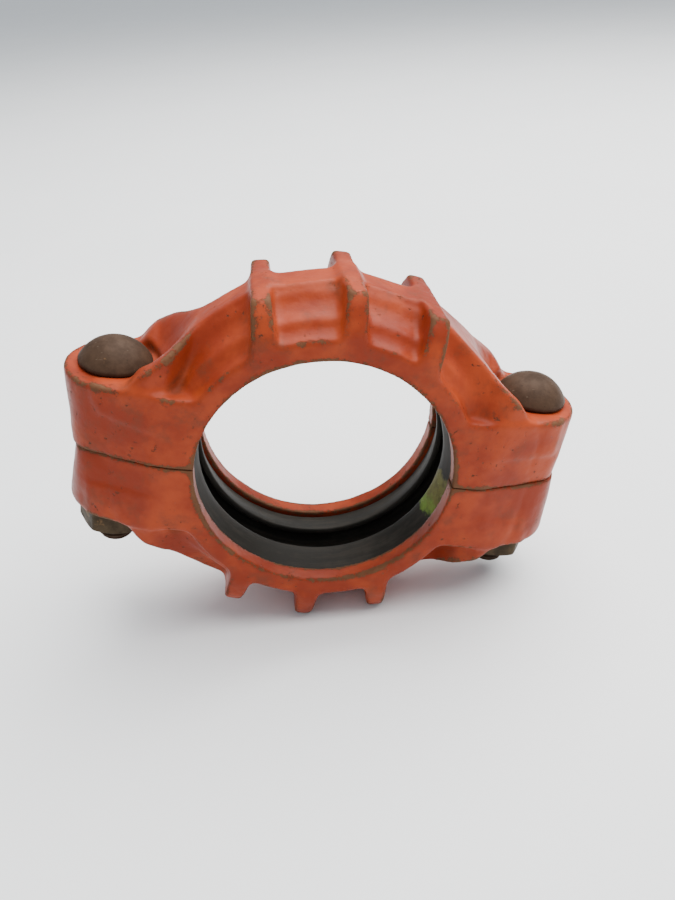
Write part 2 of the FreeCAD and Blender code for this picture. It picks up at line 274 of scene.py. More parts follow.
# how far each rib runs off true along X for each millimetre forwards, from the left rib on
RIB_SKEW = {"upper_housing": (0.005, 0.064, 0.068), "lower_housing": (0.0, 0.0, 0.0)}
# where along Y a skewed rib is still true
RIB_BACK_END = 17.5
# the tips stay a little inside the CAD box to leave room for the cast texture
RIB_TIP = RIB_RADIUS - 0.35
RIB_HALF_TIP, RIB_DRAFT, RIB_DEPTH = 3.1, 0.06, 18.0
SPINE_RADIUS = 63.6
# radius and offset from the mid-plane, from the key's face over the rim to under the spine:
# a scoop below the spine, a bead, and a second scoop down to the rim
RING_PROFILE = [(40.0, 0.0), (40.0, HALF_WIDTH), (50.0, HALF_WIDTH), (50.5, 22.6), (50.7, 21.4),
                (51.3, 20.0), (52.6, 18.5), (54.3, 17.5), (55.1, 16.4), (55.3, 15.2), (55.8, 13.6),
                (56.7, 11.8), (57.9, 10.2), (59.4, 9.0), (60.4, 8.0), (60.4, 0.0)]
# the space for the keys' circle, the gasket's cavity and the pipe
BORE_PROFILE = [(-1.0, 0.0), (-1.0, 40.0), (KEY_RADIUS, 40.0), (KEY_RADIUS, 17.0), (48.5, 17.0),
                (53.5, 8.0), (53.5, 0.0)]
# reach along X and half the spine's width there: narrow between the ribs, forked at the pads
SPINE_REACH = [28.0, 41.0, 44.0, 46.4, 48.2, 50.0, 51.6, 53.2, 56.0, 59.0, 62.0]
SPINE_HALF_WIDTH = [6.0, 6.3, 7.2, 9.4, 12.0, 14.4, 16.6, 18.2, 19.6, 21.2, 21.6]
# the +X end is fuller: its flanks run down to the ring with hardly a hollow
FULL_HALF_WIDTH = [7.4, 11.6, 12.8, 13.9, 14.9, 16.2, 17.6, 18.6, 19.8, 21.2, 21.6]
# the seat under a bolt's head and the valley that climbs from it between the forks: the
# valley's half width and its floor's height at each reach
SEAT_RADIUS = 14.3
VALLEY_REACH = [44.5, 47.0, 50.0, 54.0, 58.0, 64.0]
VALLEY_HALF_WIDTH = [2.0, 6.2, 10.4, 13.4, SEAT_RADIUS, SEAT_RADIUS]
VALLEY_FLOOR = [46.6, 42.6, 37.6, 30.6, 26.6, PAD_HEIGHT]
# how fast a pad's front and back faces draw in along X, at the joint face and at the top
WIDE_TAPER, NARROW_TAPER = (0.30, 0.23), (0.34, 0.25)
TAPER_START, PAD_INNER_END = 51.5, 42.0
HOLE_RADIUS, HOLE_HALF_FLAT = 7.1, 2.0
# how broadly the parts of the casting run into each other
SPINE_FILLET, PAD_FILLET, RIB_FILLET, VALLEY_FILLET = 2.4, 2.2, 2.8, 1.6
EDGE_SOFTNESS = 0.7
# room for the cast texture inside the housing's width, and half the gap at the joint face
SKIN_ROOM, JOINT_ROOM = 0.28, 0.05
CASTING_STEP = 0.72


def pad_rise(z):
    """0 at the joint face, 1 just under a pad's top."""
    return np.clip(z / (PAD_HEIGHT - 1.4), 0, 1)


def pad_face(x, y, z, tapers):
    """Distance to the front and back faces of a bolt pad, which draw in towards its end."""
    rise = pad_rise(z)
    taper = tapers[0] + (tapers[1] - tapers[0]) * rise
    away = np.maximum(np.abs(x) - TAPER_START, 0)
    return (np.abs(y) - HALF_WIDTH + taper * away) / np.sqrt(1 + taper ** 2)


def ring_and_spine(x, y, z):
    """The keyed ring, and the spine that forks at each end into the rims of a bolt pad."""
    reach, offset = np.abs(x), np.abs(y)
    radius = np.hypot(x, z)
    ring = polygon_distance(radius, offset, RING_PROFILE)

    chord = reach * math.sin(RIB_PITCH / 2) + (z - SPINE_RADIUS) * math.cos(RIB_PITCH / 2)
    outer_rib = SPINE_RADIUS * math.sin(RIB_PITCH)
    shoulder = np.interp(reach, [outer_rib, 40.0, 50.0, 54.0, 60.0], [63.2, 63.6, 64.8, 66.4, 70.0])
    shoulder = shoulder.astype(np.float32)
    crest = np.where(reach < outer_rib, chord, radius - shoulder)
    slope_start, slope_end = (52.8, 38.4), (68.9, PAD_HEIGHT)
    run, drop = slope_end[0] - slope_start[0], slope_start[1] - slope_end[1]
    rim = ((reach - slope_start[0]) * drop + (z - slope_start[1]) * run) / math.hypot(run, drop)
    full = ramp(x, 24.0, 30.0).astype(np.float32)
    half = np.interp(reach, SPINE_REACH, SPINE_HALF_WIDTH)
    half = (half + (np.interp(reach, SPINE_REACH, FULL_HALF_WIDTH) - half) * full).astype(np.float32)
    flank = (offset - half - (0.16 + 0.30 * full) * np.maximum(shoulder - radius, 0)) * 0.9
    # the spine also stays just behind the pads' faces
    face = np.where(x < 0, pad_face(x, y, z, WIDE_TAPER), pad_face(x, y, z, NARROW_TAPER))
    spine = meet(meet(meet(crest, rim, 3.0), flank, 0.8), face + 0.3, 0.8)
    return join(ring, spine, SPINE_FILLET)


def ribs(x, y, z, skew):
    """Three cross ribs with nearly upright sides, their ends sloping down to the rims."""
    offset = np.abs(y)
    field = np.float32(1e3)
    for turn, slip in zip((-1, 0, 1), skew):
        tip_x, tip_z = RIB_TIP * math.sin(turn * RIB_PITCH), RIB_TIP * math.cos(turn * RIB_PITCH)
        s, c = math.sin(turn * RIB_TILT), math.cos(turn * RIB_TILT)
        depth = -(x - tip_x) * s - (z - tip_z) * c
        across = (x - tip_x) * c - (z - tip_z) * s - slip * (RIB_BACK_END - y)
        sides = np.abs(across) - RIB_HALF_TIP - RIB_DRAFT * depth
        # each end is two planes, a sloping one at the tip and a steep one below it
        upper_end = -depth * 0.58 + (offset - 18.2) * 0.81
        lower_end = (4.2 - depth) * 0.32 + (offset - 21.2) * 0.947
        ends = np.maximum(upper_end, lower_end)
        rib = np.maximum(np.maximum(sides, -depth), np.maximum(ends, depth - RIB_DEPTH))
        field = np.minimum(field, rib)
    return field


def bolt_pad(x, y, z, tapers, foot_end, foot_corner, top_end):
    """A block round a bolt hole: square-ended at the joint face, round at the top."""
    reach, offset = np.abs(x), np.abs(y)
    face = pad_face(x, y, z, tapers)
    foot = meet(face, reach - foot_end, foot_corner)
    # the top's round end is a circle that both sides run into smoothly
    lean = 1 / math.sqrt(1 + tapers[1] ** 2)
    radius = lean * (HALF_WIDTH - tapers[1] * (top_end - TAPER_START)) / (1 - tapers[1] * lean)
    past = reach - (top_end - radius)
    top = np.where(past > tapers[1] * offset, np.hypot(past, offset) - radius, face)
    outline = foot + (top - foot) * pad_rise(z)
    return meet(np.maximum(outline, PAD_INNER_END - reach), z - PAD_HEIGHT, 1.0)


def bolt_pads(x, y, z):
    """Both pads. The one on the +X side is shorter and tapers faster than the other."""
    wide = bolt_pad(x, y, z, WIDE_TAPER, 84.2, 9.0, PAD_TOP_END - 0.3)
    narrow = bolt_pad(x, y, z, NARROW_TAPER, 83.0, 6.0, PAD_TOP_END - 1.2)
    return np.where(x < 0, wide, narrow)


def bolt_valleys(x, y, z):
    """The round seat over each bolt hole and the valley that climbs from it to the spine."""
    reach = np.abs(x)
    seat = np.maximum(np.hypot(reach - BOLT_OFFSET, y) - SEAT_RADIUS, PAD_HEIGHT - z)
    half = np.interp(reach, VALLEY_REACH, VALLEY_HALF_WIDTH).astype(np.float32)
    floor = np.interp(reach, VALLEY_REACH, VALLEY_FLOOR).astype(np.float32)
    depth = np.interp(reach, [44.5, 54.0, 70.0], [1.0, 6.5, 6.5]).astype(np.float32)
    valley = (floor + depth * (y / half) ** 2 - z) * 0.6
    valley = np.maximum(valley, np.maximum(VALLEY_REACH[0] - reach, reach - BOLT_OFFSET))
    return np.minimum(seat, valley)


# the outlines of the blank cast panels on the front faces of the pads, as X and Z
LEFT_PANEL = [(-76.6, 27.0), (-76.2, 20.0), (-73.4, 15.6), (-64.9, 13.6), (-54.8, 12.0), (-51.8, 15.4),
              (-51.2, 22.7), (-53.0, 27.0)]
RIGHT_PANEL = [(55.0, 26.0), (55.0, 11.5), (79.0, 11.5), (79.0, 26.0)]
PANEL_RELIEF = 0.5


def blank_panels(x, z):
    """How far the two blank panels stand out."""
    away = np.minimum(polygon_distance(x, z, LEFT_PANEL), polygon_distance(x, z, RIGHT_PANEL))
    return PANEL_RELIEF * (1 - ramp(away, -0.7, 0.3))


def casting_field(grid, skew):
    """The upper half's solid as a distance field, negative inside."""
    x, y, z = grid.x, grid.y, grid.z
    body = join(ring_and_spine(x, y, z), bolt_pads(x, y, z), PAD_FILLET)
    body = join(body, ribs(x, y, z, skew), RIB_FILLET)
    body = cut(body, bolt_valleys(x, y, z), VALLEY_FILLET)
    in_front = y < -HALF_WIDTH / 2
    body = np.where(in_front, body - blank_panels(x, z), body)
    body = meet(body, np.abs(y) - HALF_WIDTH + SKIN_ROOM, 0.8)
    body = blurred(body.astype(np.float32), EDGE_SOFTNESS, grid.step)
    bore = polygon_distance(np.hypot(x, z), np.abs(y), BORE_PROFILE)
    hole = np.hypot(np.maximum(np.abs(np.abs(x) - BOLT_OFFSET) - HOLE_HALF_FLAT, 0), y) - HOLE_RADIUS
    body = cut(cut(body, bore, 0.25), hole, 0.8)
    return meet(body, JOINT_ROOM - z, 0.5)


def cast_texture(points, normals, seed):
    """The gentle unevenness of a sand casting under thick paint."""
    swell = 0.16 * speckle(points, 11.0, seed) + 0.09 * speckle(points, 4.5, seed + 1)
    return points + normals * (swell + 0.035 * speckle(points, 1.9, seed + 2))[:, None]


def bend_marks(points, field, grid):
    """Where the surface is an edge that wears bare, and where it is a hollow."""
    def bend(sigma):
        soft = blurred(field, sigma, grid.step)
        total = sum(np.roll(soft, 1, axis) + np.roll(soft, -1, axis) - 2 * soft for axis in range(3))
        return grid.read((total / grid.step ** 2).astype(np.float32), points)

    wear = ramp(bend(1.0), 0.14, 0.60)
    concavity = ramp(-bend(2.0), 0.04, 0.20)
    return np.stack([wear, concavity], axis=1)


def make_casting(node, seed, turned):
    """The visual model of one half housing. The lower one is turned about the pipe's axis."""
    margin = 4.0
    grid = Grid((-PAD_TOP_END - margin, -HALF_WIDTH - margin, -margin),
                (PAD_TOP_END + margin, HALF_WIDTH + margin, RIB_RADIUS + margin), CASTING_STEP)
    field = casting_field(grid, RIB_SKEW[node])
    points, quads = surface_net(field, grid)
    points = settled(points, field, grid)
    slope = grid.slope(field, points)
    normals = slope / np.maximum(np.linalg.norm(slope, axis=1), 1e-6)[:, None]
    marks = bend_marks(points, field, grid)
    shape = cast_texture(points, normals, seed)
    if turned:
        shape = shape * [-1, 1, -1]
    return mesh_object(node.replace("housing", "casting"), shape, quads.tolist(), marks)


castings = {"upper_housing": make_casting("upper_housing", 3, False),
            "lower_housing": make_casting("lower_housing", 20, True)}

# ---------------------------------------------------------------------------------------
# Turned pieces: rings of points round an axis, joined into one closed skin


def rounded_outline(corners, step):
    """A closed outline through (across, along, corner radius) corners, in short steps."""
    points = []
    count = len(corners)
    for index, (u, v, radius) in enumerate(corners):
        here = Vector((u, v))
        back = Vector(corners[index - 1][:2]) - here
        ahead = Vector(corners[(index + 1) % count][:2]) - here
        trim = min(radius, 0.45 * back.length, 0.45 * ahead.length)
        start, end = here + back.normalized() * trim, here + ahead.normalized() * trim
        bends = max(2, int(round(2 * trim / step)) + 1) if trim > 0.01 else 1
        for k in range(bends):
            t = k / max(1, bends - 1)
            points.append(start * (1 - t) ** 2 + here * 2 * t * (1 - t) + end * t ** 2)
    outline = []
    for index, point in enumerate(points):
        following = points[(index + 1) % len(points)]
        cuts = max(1, int(round((following - point).length / step)))
        outline += [point.lerp(following, k / cuts) for k in range(cuts)]
    return np.array([[p.x, p.y] for p in outline])


def ring_faces(rows, columns, closed):
    """Quads between rows of points, each row a ring of columns points."""
    row, column = np.meshgrid(np.arange(rows if closed else rows - 1), np.arange(columns), indexing="ij")
    below, beside = (row + 1) % rows, (column + 1) % columns
    faces = [row * columns + column, below * columns + column,
             below * columns + beside, row * columns + beside]
    return np.stack(faces, axis=-1).reshape(-1, 4).tolist()


def outward(piece):
    """Turns every face of a closed piece to look outwards."""
    mesh = bmesh.new()
    mesh.from_mesh(piece.data)
    bmesh.ops.recalc_face_normals(mesh, faces=mesh.faces)
    mesh.to_mesh(piece.data)
    mesh.free()
    return piece


def make_gasket():
    """The rubber ring of C section, its lips worn smooth."""
    heel, edge = 8.0, GASKET_HIGH.y
    # radius, offset from the mid-plane and corner radius, from the hollow round to the outside
    half = [(50.0, heel, 2.4), (47.4, 12.6, 2.4), (44.8, 5.2, 0.9), (LIP_RADIUS, 5.2, 0.6),
            (LIP_RADIUS + 0.1, 7.6, 1.1), (43.4, 10.6, 2.6), (45.0, edge, 0.7), (48.2, edge, 0.8),
            (GASKET_HIGH.z, heel, 2.2)]
    corners = [(r, -y, bend) for r, y, bend in half] + [(r, y, bend) for r, y, bend in half[::-1]]
    outline = rounded_outline(corners, 0.7)
    columns = 240
    turn = np.arange(columns) * 2 * math.pi / columns
    radius = outline[:, :1] + 0.05 * np.sin(3 * turn + 1)[None, :]
    points = np.stack([radius * np.cos(turn), np.repeat(outline[:, 1:], columns, 1),
                       radius * np.sin(turn)], axis=-1).reshape(-1, 3)
    points += 0.05 * np.stack([speckle(points, 6.0, seed) for seed in (51, 52, 53)], axis=1)
    return outward(mesh_object("rubber_gasket", points, ring_faces(len(outline), columns, True)))


# the half inch thread, with so many rows of points to each of its turns
MAJOR_RADIUS, THREAD_DEPTH, THREAD_LENGTH = 6.3, 1.05, 40.0
ROWS_PER_TURN = 10
# the oval neck under a bolt's head
NECK_LENGTH, NECK_HALF_FLAT, NECK_RADIUS = 6.0, 2.0, 6.9
# the height of the head's upright edge, and the room left above the dome for its dents
HEAD_EDGE, HEAD_ROOM = 1.3, 0.12


def turned_points(rows, turn):
    """The points of rows round the Z axis, each row a height and its radius at each turn."""
    heights = np.array([height for height, radius in rows])
    radii = np.array([radius for height, radius in rows])
    return np.stack([radii * np.cos(turn), radii * np.sin(turn),
                     np.repeat(heights[:, None], len(turn), 1)], axis=-1).reshape(-1, 3)


def thread_radius(turn, height, clearance=0.0):
    """The radius of a right-handed helical thread with flat crests and roots."""
    phase = (height / THREAD_PITCH - turn / (2 * math.pi)) % 1.0
    slope = np.clip((np.abs(phase - 0.5) - 0.07) / 0.36, 0, 1)
    return MAJOR_RADIUS + clearance - THREAD_DEPTH * slope


def make_bolt(name, side, seed):
    """A forged bolt: domed head, oval neck that locks in the pad, and a long thread."""
    columns = 96
    turn = np.arange(columns) * 2 * math.pi / columns
    head_radius = BOLT_HIGH.x - BOLT_OFFSET
    seat, tip, top = PAD_HEIGHT, BOLT_LOW.z, BOLT_HIGH.z
    thread_top = tip + THREAD_LENGTH
    neck_end = seat - NECK_LENGTH
    rows = []

    # the dome, from its pole down to the edge and under to the neck
    edge = seat + HEAD_EDGE
    rise = top - edge
    dome = (head_radius ** 2 + rise ** 2) / (2 * rise)
    span = math.asin(head_radius / dome)
    for share in np.linspace(0.02, 0.985, 26):
        angle = span * share
        rows.append((top - dome * (1 - math.cos(angle)), dome * math.sin(angle) + 0 * turn))
    for height, radius in ((edge - 0.05, head_radius - 0.04), (edge - 0.45, head_radius),
                           (seat + 0.45, head_radius), (seat + 0.1, head_radius - 0.25),
                           (seat, head_radius - 0.7)):
        rows.append((height, radius + 0 * turn))

    # the oval neck: two half circles and the flats between them
    reach = np.sqrt(NECK_RADIUS ** 2 - (NECK_HALF_FLAT * np.sin(turn)) ** 2)
    oval = np.minimum(NECK_RADIUS / np.maximum(np.abs(np.sin(turn)), 1e-6),
                      NECK_HALF_FLAT * np.abs(np.cos(turn)) + reach)
    for height, grow in ((seat, 0.5), (seat - 0.5, 0.0), (neck_end + 0.8, 0.0), (neck_end + 0.2, -0.25)):
        rows.append((height, oval + grow))
    shank = MAJOR_RADIUS - 0.02
    for height in np.linspace(neck_end, thread_top + 1.2, 12):
        rows.append((height, shank + 0 * turn))

    count = int(THREAD_LENGTH / THREAD_PITCH * ROWS_PER_TURN)
    for height in np.linspace(thread_top, tip, count + 1):
        fade = ramp(thread_top - height, 0, 2.0)
        cut_radius = thread_radius(turn, height)
        chamfer = MAJOR_RADIUS - 1.3 + (height - tip)
        rows.append((height, np.minimum(shank * (1 - fade) + cut_radius * fade, chamfer)))
    rows.append((tip, 0.5 * rows[-1][1]))

    points = turned_points(rows, turn)
    outwards = points / np.maximum(np.linalg.norm(points - [0, 0, neck_end], axis=1), 1)[:, None]
    dents = 0.10 * speckle(points, 5.0, seed) + 0.05 * speckle(points, 1.6, seed + 1)
    head = ramp(points[:, 2], seat + 1.0, seat + 2.5)
    points[:, 2] -= head * (HEAD_ROOM + dents)
    points[:, :2] += (0.6 * outwards[:, :2] * dents[:, None]) * head[:, None]

    # the two ends are closed by a fan of triangles each
    faces = ring_faces(len(rows), columns, False)
    top_point, tip_point = len(points), len(points) + 1
    points = np.vstack([points, [0, 0, top - HEAD_ROOM], [0, 0, tip]])
    last = (len(rows) - 1) * columns
    for k in range(columns):
        following = (k + 1) % columns
        faces.append((top_point, k, following))
        faces.append((tip_point, last + following, last + k))
    points[:, 0] += side * BOLT_OFFSET
    return outward(mesh_object(name, points, faces))


def make_nut(name, side, seed):
    """A heavy hexagon nut with chamfered corners and a thread that fits the bolt's."""
    columns = 144
    turn = np.arange(columns) * 2 * math.pi / columns
    flat = (NUT_HIGH.y - NUT_LOW.y) / 2
    sixth = (turn + math.pi / 6) % (math.pi / 3) - math.pi / 6
    hexagon = flat / np.cos((turn % (math.pi / 3)) - math.pi / 6)
    hexagon = np.minimum(hexagon, flat / math.cos(math.pi / 6) - 0.22 + 0.9 * np.abs(sixth))
    low, high = NUT_LOW.z, NUT_HIGH.z
    mouth = MAJOR_RADIUS + 0.35
    rows = []
    for height in np.concatenate([np.linspace(0, 2.4, 13), [4, 6, 8, 10], [high - low - 1.0,
                                  high - low - 0.5, high - low - 0.15]]):
        below = flat - 0.15 + height / 0.55
        above = flat + 1.1 + (high - low - height) / 0.5
        rows.append((low + height, np.minimum(hexagon, np.minimum(below, above))))
    for radius in (flat - 0.1, 9.5, 8.0, mouth + 0.6):
        rows.append((high, radius + 0 * turn))
    rows.append((high - 0.1, mouth + 0.1 + 0 * turn))
    count = int((high - low) / THREAD_PITCH * ROWS_PER_TURN)
    for height in np.linspace(high - 0.2, low + 0.2, count):
        flare = mouth - 1.2 * np.minimum(height - low, high - height)
        rows.append((height, np.maximum(thread_radius(turn, height, 0.08), flare)))
    rows.append((low + 0.1, mouth + 0.1 + 0 * turn))
    for radius in (mouth + 0.6, 8.0, 9.5, flat - 0.8):
        rows.append((low, radius + 0 * turn))
    points = turned_points(rows, turn)
    radii = np.array([radius for height, radius in rows])
    dents = 0.06 * np.stack([speckle(points, 3.0, seed + k) for k in range(3)], axis=1)
    points += dents * (radii.reshape(-1, 1) > mouth + 1)
    points[:, 2] = np.clip(points[:, 2], low, high)
    points[:, 0] += side * BOLT_OFFSET
    return outward(mesh_object(name, points, ring_faces(len(rows), columns, True)))


gasket = make_gasket()
bolts = {"left": make_bolt("left_track_bolt", -1, 61), "right": make_bolt("right_track_bolt", 1, 71)}
nuts = {"left": make_nut("left_hex_nut", -1, 81), "right": make_nut("right_hex_nut", 1, 91)}

# ---------------------------------------------------------------------------------------
# Materials


class Look:
    """A node material in the making. Most calls add a node and return its output socket."""

    def __init__(self, name):
        self.material = bpy.data.materials.new(name)
        self.material.use_nodes = True
        self.nodes = self.material.node_tree.nodes
        self.links = self.material.node_tree.links
        self.nodes.clear()
        self.shader = self.nodes.new("ShaderNodeBsdfPrincipled")
        output = self.nodes.new("ShaderNodeOutputMaterial")
        self.links.new(self.shader.outputs["BSDF"], output.inputs["Surface"])
        self.place = self.nodes.new("ShaderNodeTexCoord").outputs["Object"]

    def feed(self, socket, value):
        """Sets a socket to a number, or links another node's output to it."""
        if isinstance(value, bpy.types.NodeSocket):
            self.links.new(value, socket)
        else:
            socket.default_value = value

    def set(self, **values):
        """Feeds the shader's sockets, named with underscores for spaces."""
        for name, value in values.items():
            self.feed(self.shader.inputs[name.replace("_", " ")], value)

    def noise(self, size_mm, detail=3.0, roughness=0.55, shift=0.0, place=None):
        """Noise around 0.5 whose lumps are about size_mm across."""
        node = self.nodes.new("ShaderNodeTexNoise")
        node.noise_dimensions = "4D"
        self.feed(node.inputs["Vector"], place or self.place)
        self.feed(node.inputs["W"], shift)
        self.feed(node.inputs["Scale"], 0.6 / (size_mm * MM))
        self.feed(node.inputs["Detail"], detail)
        self.feed(node.inputs["Roughness"], roughness)
        return node.outputs["Fac"]

    def math(self, operation, *values):
        node = self.nodes.new("ShaderNodeMath")
        node.operation = operation
        for socket, value in zip(node.inputs, values):
            self.feed(socket, value)
        return node.outputs["Value"]

    def between(self, value, low, high):
        """0 below low, 1 above high, smooth between. low may be the larger."""
        node = self.nodes.new("ShaderNodeMapRange")
        node.interpolation_type = "SMOOTHSTEP"
        self.feed(node.inputs["Value"], value)
        self.feed(node.inputs["From Min"], low)
        self.feed(node.inputs["From Max"], high)
        return node.outputs["Result"]

    def mix(self, share, first, second):
        """A colour between first and second."""
        node = self.nodes.new("ShaderNodeMix")
        node.data_type = "RGBA"
        self.feed(node.inputs["Factor"], share)
        sockets = [socket for socket in node.inputs if socket.type == "RGBA"]
        for socket, value in zip(sockets, (first, second)):
            self.feed(socket, value if isinstance(value, bpy.types.NodeSocket) else (*value, 1.0))
        return next(socket for socket in node.outputs if socket.type == "RGBA")

    def lerp(self, share, first, second):
        """A number between first and second."""
        node = self.nodes.new("ShaderNodeMapRange")
        self.feed(node.inputs["Value"], share)
        self.feed(node.inputs["To Min"], first)
        self.feed(node.inputs["To Max"], second)
        return node.outputs["Result"]

    def marks(self):
        """The casting's edge wear and hollows, kept at its points."""
        node = self.nodes.new("ShaderNodeAttribute")
        node.attribute_name = "marks"
        parts = self.nodes.new("ShaderNodeSeparateColor")
        self.links.new(node.outputs["Color"], parts.inputs["Color"])
        return parts.outputs["Red"], parts.outputs["Green"]

    def parts(self):
        """The object's own X, Y and Z."""
        node = self.nodes.new("ShaderNodeSeparateXYZ")
        self.links.new(self.place, node.inputs["Vector"])
        return node.outputs["X"], node.outputs["Y"], node.outputs["Z"]

    def combine(self, x, y, z):
        """A place made of three numbers."""
        node = self.nodes.new("ShaderNodeCombineXYZ")
        for socket, value in zip(node.inputs, (x, y, z)):
            self.feed(socket, value)
        return node.outputs["Vector"]

    def bump(self, height_mm):
        """Gives the surface a bump from a height in millimetres."""
        node = self.nodes.new("ShaderNodeBump")
        self.feed(node.inputs["Height"], height_mm)
        self.feed(node.inputs["Distance"], MM)
        self.links.new(node.outputs["Normal"], self.shader.inputs["Normal"])


def enamel_look(name, shift):
    """Thick orange machinery enamel on cast iron: glossy and lumpy, darker brown in its hollows, and
    chipped through to brown scale along its edges."""
    look = Look(name)
    wear, concavity = look.marks()
    tone = look.between(look.noise(14, 4, 0.6, shift), 0.38, 0.62)
    colour = look.mix(tone, (0.205, 0.025, 0.009), (0.315, 0.046, 0.014))
    film = look.between(look.noise(6, 6, 0.72, shift + 3), 0.50, 0.70)
    colour = look.mix(look.math("MULTIPLY", film, 0.62), colour, (0.125, 0.034, 0.017))
    # darker brown in random patches over the hollows
    hollow = look.math("MULTIPLY", concavity, look.between(look.noise(3.5, 5, 0.7, shift + 5), 0.30, 0.62))
    colour = look.mix(look.math("MULTIPLY", hollow, 0.72), colour, (0.11, 0.028, 0.013))
    speck = look.math("MULTIPLY", look.between(look.noise(1.3, 4, 0.65, shift + 7), 0.61, 0.66),
                      look.between(look.noise(12, 3, 0.6, shift + 9), 0.45, 0.58))
    colour = look.mix(look.math("MULTIPLY", speck, 0.9), colour, (0.060, 0.026, 0.014))
    colour = look.mix(look.math("MULTIPLY", wear, 0.45), colour, (0.16, 0.026, 0.010))
    ragged = look.math("ADD", look.math("MULTIPLY", look.noise(1.2, 6, 0.8, shift + 11), 1.7),
                       look.math("MULTIPLY", look.noise(10, 3, 0.6, shift + 13), 1.0))
    chip = look.between(look.math("ADD", look.math("MULTIPLY", wear, 0.50), ragged), 1.63, 1.79)
    scale = look.mix(look.noise(2.2, 4, 0.6, shift + 15), (0.060, 0.028, 0.014), (0.135, 0.072, 0.034))
    colour = look.mix(look.math("MULTIPLY", chip, 0.88), colour, scale)
    look.set(Base_Color=colour)

    sheen = look.lerp(look.noise(4, 4, 0.6, shift + 17), 0.24, 0.50)
    sheen = look.lerp(look.math("MAXIMUM", chip, look.math("MAXIMUM", speck, hollow)), sheen, 0.68)
    look.set(Roughness=sheen, IOR=1.5, Specular_IOR_Level=0.10)
    skin = look.math("MULTIPLY", look.noise(2.6, 4, 0.5, shift + 19), 0.22)
    fine = look.math("MULTIPLY", look.noise(0.7, 3, 0.5, shift + 21), 0.04)
    height = look.math("ADD", skin, fine)
    pits = look.math("MULTIPLY", look.math("MAXIMUM", chip, speck), -0.10)
    look.bump(look.math("ADD", height, pits))
    return look.material


def rubber_look():
    """Moulded black rubber, dusty and streaked round the ring, with a green quality mark whose lower end
    has a painted highlight.
    """
    look = Look("moulded_rubber")
    x, y, z = look.parts()
    angle = look.math("ARCTAN2", z, x)
    radius = look.math("SQRT", look.math("ADD", look.math("MULTIPLY", x, x), look.math("MULTIPLY", z, z)))
    around = look.combine(look.math("MULTIPLY", angle, 0.004), y, radius)
    streak = look.noise(0.9, 4, 0.6, 2.0, around)
    dust = look.between(look.math("ADD", look.math("MULTIPLY", streak, 0.6),
                                  look.math("MULTIPLY", look.noise(9, 5, 0.7, 4), 0.6)), 0.52, 0.78)
    colour = look.mix(dust, (0.019, 0.017, 0.014), (0.038, 0.033, 0.027))
    ragged = look.math("MULTIPLY", look.math("SUBTRACT", look.noise(4, 5, 0.7, 6), 0.5), 0.25)
    swept = look.math("ADD", angle, ragged)
    patch = look.math("MULTIPLY", look.between(swept, -0.46, -0.41), look.between(swept, -0.05, -0.12))
    patch = look.math("MULTIPLY", patch, look.between(y, -0.0050, -0.0056))
    patch = look.math("MULTIPLY", patch, look.between(radius, 0.0450, 0.0446))
    # painted light: the green mark is painted greener and brighter towards its lower end, where the lip
    # faces up to the light above
    painted_lit_end = look.between(look.math("ADD", swept, look.math("MULTIPLY", look.noise(2, 4, 0.7, 8), 0.3)),
                         -0.14, -0.27)
    green = look.mix(painted_lit_end, (0.155, 0.145, 0.040), (0.17, 0.27, 0.045))
    green = look.mix(look.between(look.noise(1.2, 5, 0.8, 10), 0.60, 0.68), green, (0.42, 0.50, 0.24))
    thin = look.between(look.noise(3, 5, 0.7, 12), 0.36, 0.52)
    colour = look.mix(look.math("MULTIPLY", patch, look.lerp(thin, 0.55, 0.95)), colour, green)
    look.set(Base_Color=colour, Roughness=look.lerp(dust, 0.54, 0.70), IOR=1.5, Specular_IOR_Level=0.11)
    height = look.math("ADD", look.math("MULTIPLY", streak, 0.05),
                       look.math("MULTIPLY", look.noise(0.8, 4, 0.6, 14), 0.05))
    look.bump(height)
    return look.material


def steel_look(name, dark, light, rust, shift, rust_level):
    """Old steel under a brown oxide: mottled, faintly scratched, with rust blooming in spots."""
    look = Look(name)
    mottle = look.between(look.noise(4, 6, 0.65, shift), 0.34, 0.66)
    colour = look.mix(mottle, dark, light)
    bloom = look.between(look.math("ADD", look.math("MULTIPLY", look.noise(7, 3, 0.5, shift + 2), 0.7),
                                   look.math("MULTIPLY", look.noise(1.2, 5, 0.7, shift + 4), 0.3)),
                         rust_level, rust_level + 0.06)
    colour = look.mix(look.math("MULTIPLY", bloom, 0.75), colour, rust)
    speck = look.between(look.noise(0.8, 3, 0.6, shift + 6), 0.66, 0.72)
    colour = look.mix(look.math("MULTIPLY", speck, 0.5), colour, (0.02, 0.014, 0.01))
    x, y, z = look.parts()
    along = look.combine(look.math("MULTIPLY", x, 0.12), y, look.math("MULTIPLY", z, 0.6))
    scratch = look.between(look.noise(0.35, 2, 0.5, shift + 8, along), 0.68, 0.74)
    colour = look.mix(look.math("MULTIPLY", scratch, 0.35), colour, (0.22, 0.17, 0.12))
    look.set(Base_Color=colour, Metallic=look.lerp(bloom, 0.08, 0.0),
             Roughness=look.lerp(mottle, 0.64, 0.50), IOR=1.5, Specular_IOR_Level=0.09)
    height = look.math("ADD", look.math("MULTIPLY", look.noise(2.0, 5, 0.6, shift + 10), 0.10),
                       look.math("MULTIPLY", look.noise(0.5, 3, 0.6, shift + 12), 0.035))
    look.bump(height)
    return look.material


def paper_look():
    """The plain pale floor."""
    look = Look("pale_floor")
    tone = look.noise(60, 4, 0.5)
    look.set(Base_Color=look.mix(tone, (0.84, 0.855, 0.865), (0.90, 0.905, 0.91)),
             Roughness=look.lerp(tone, 0.75, 0.85))
    look.bump(look.math("MULTIPLY", look.noise(3, 3, 0.5), 0.05))
    return look.material


def dress(piece, material, body, node):
    """Gives a piece its material, puts it under its body's empty and hides the CAD node it stands in for.
    """
    piece.data.materials.append(material)
    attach(piece, body)
    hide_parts(node)


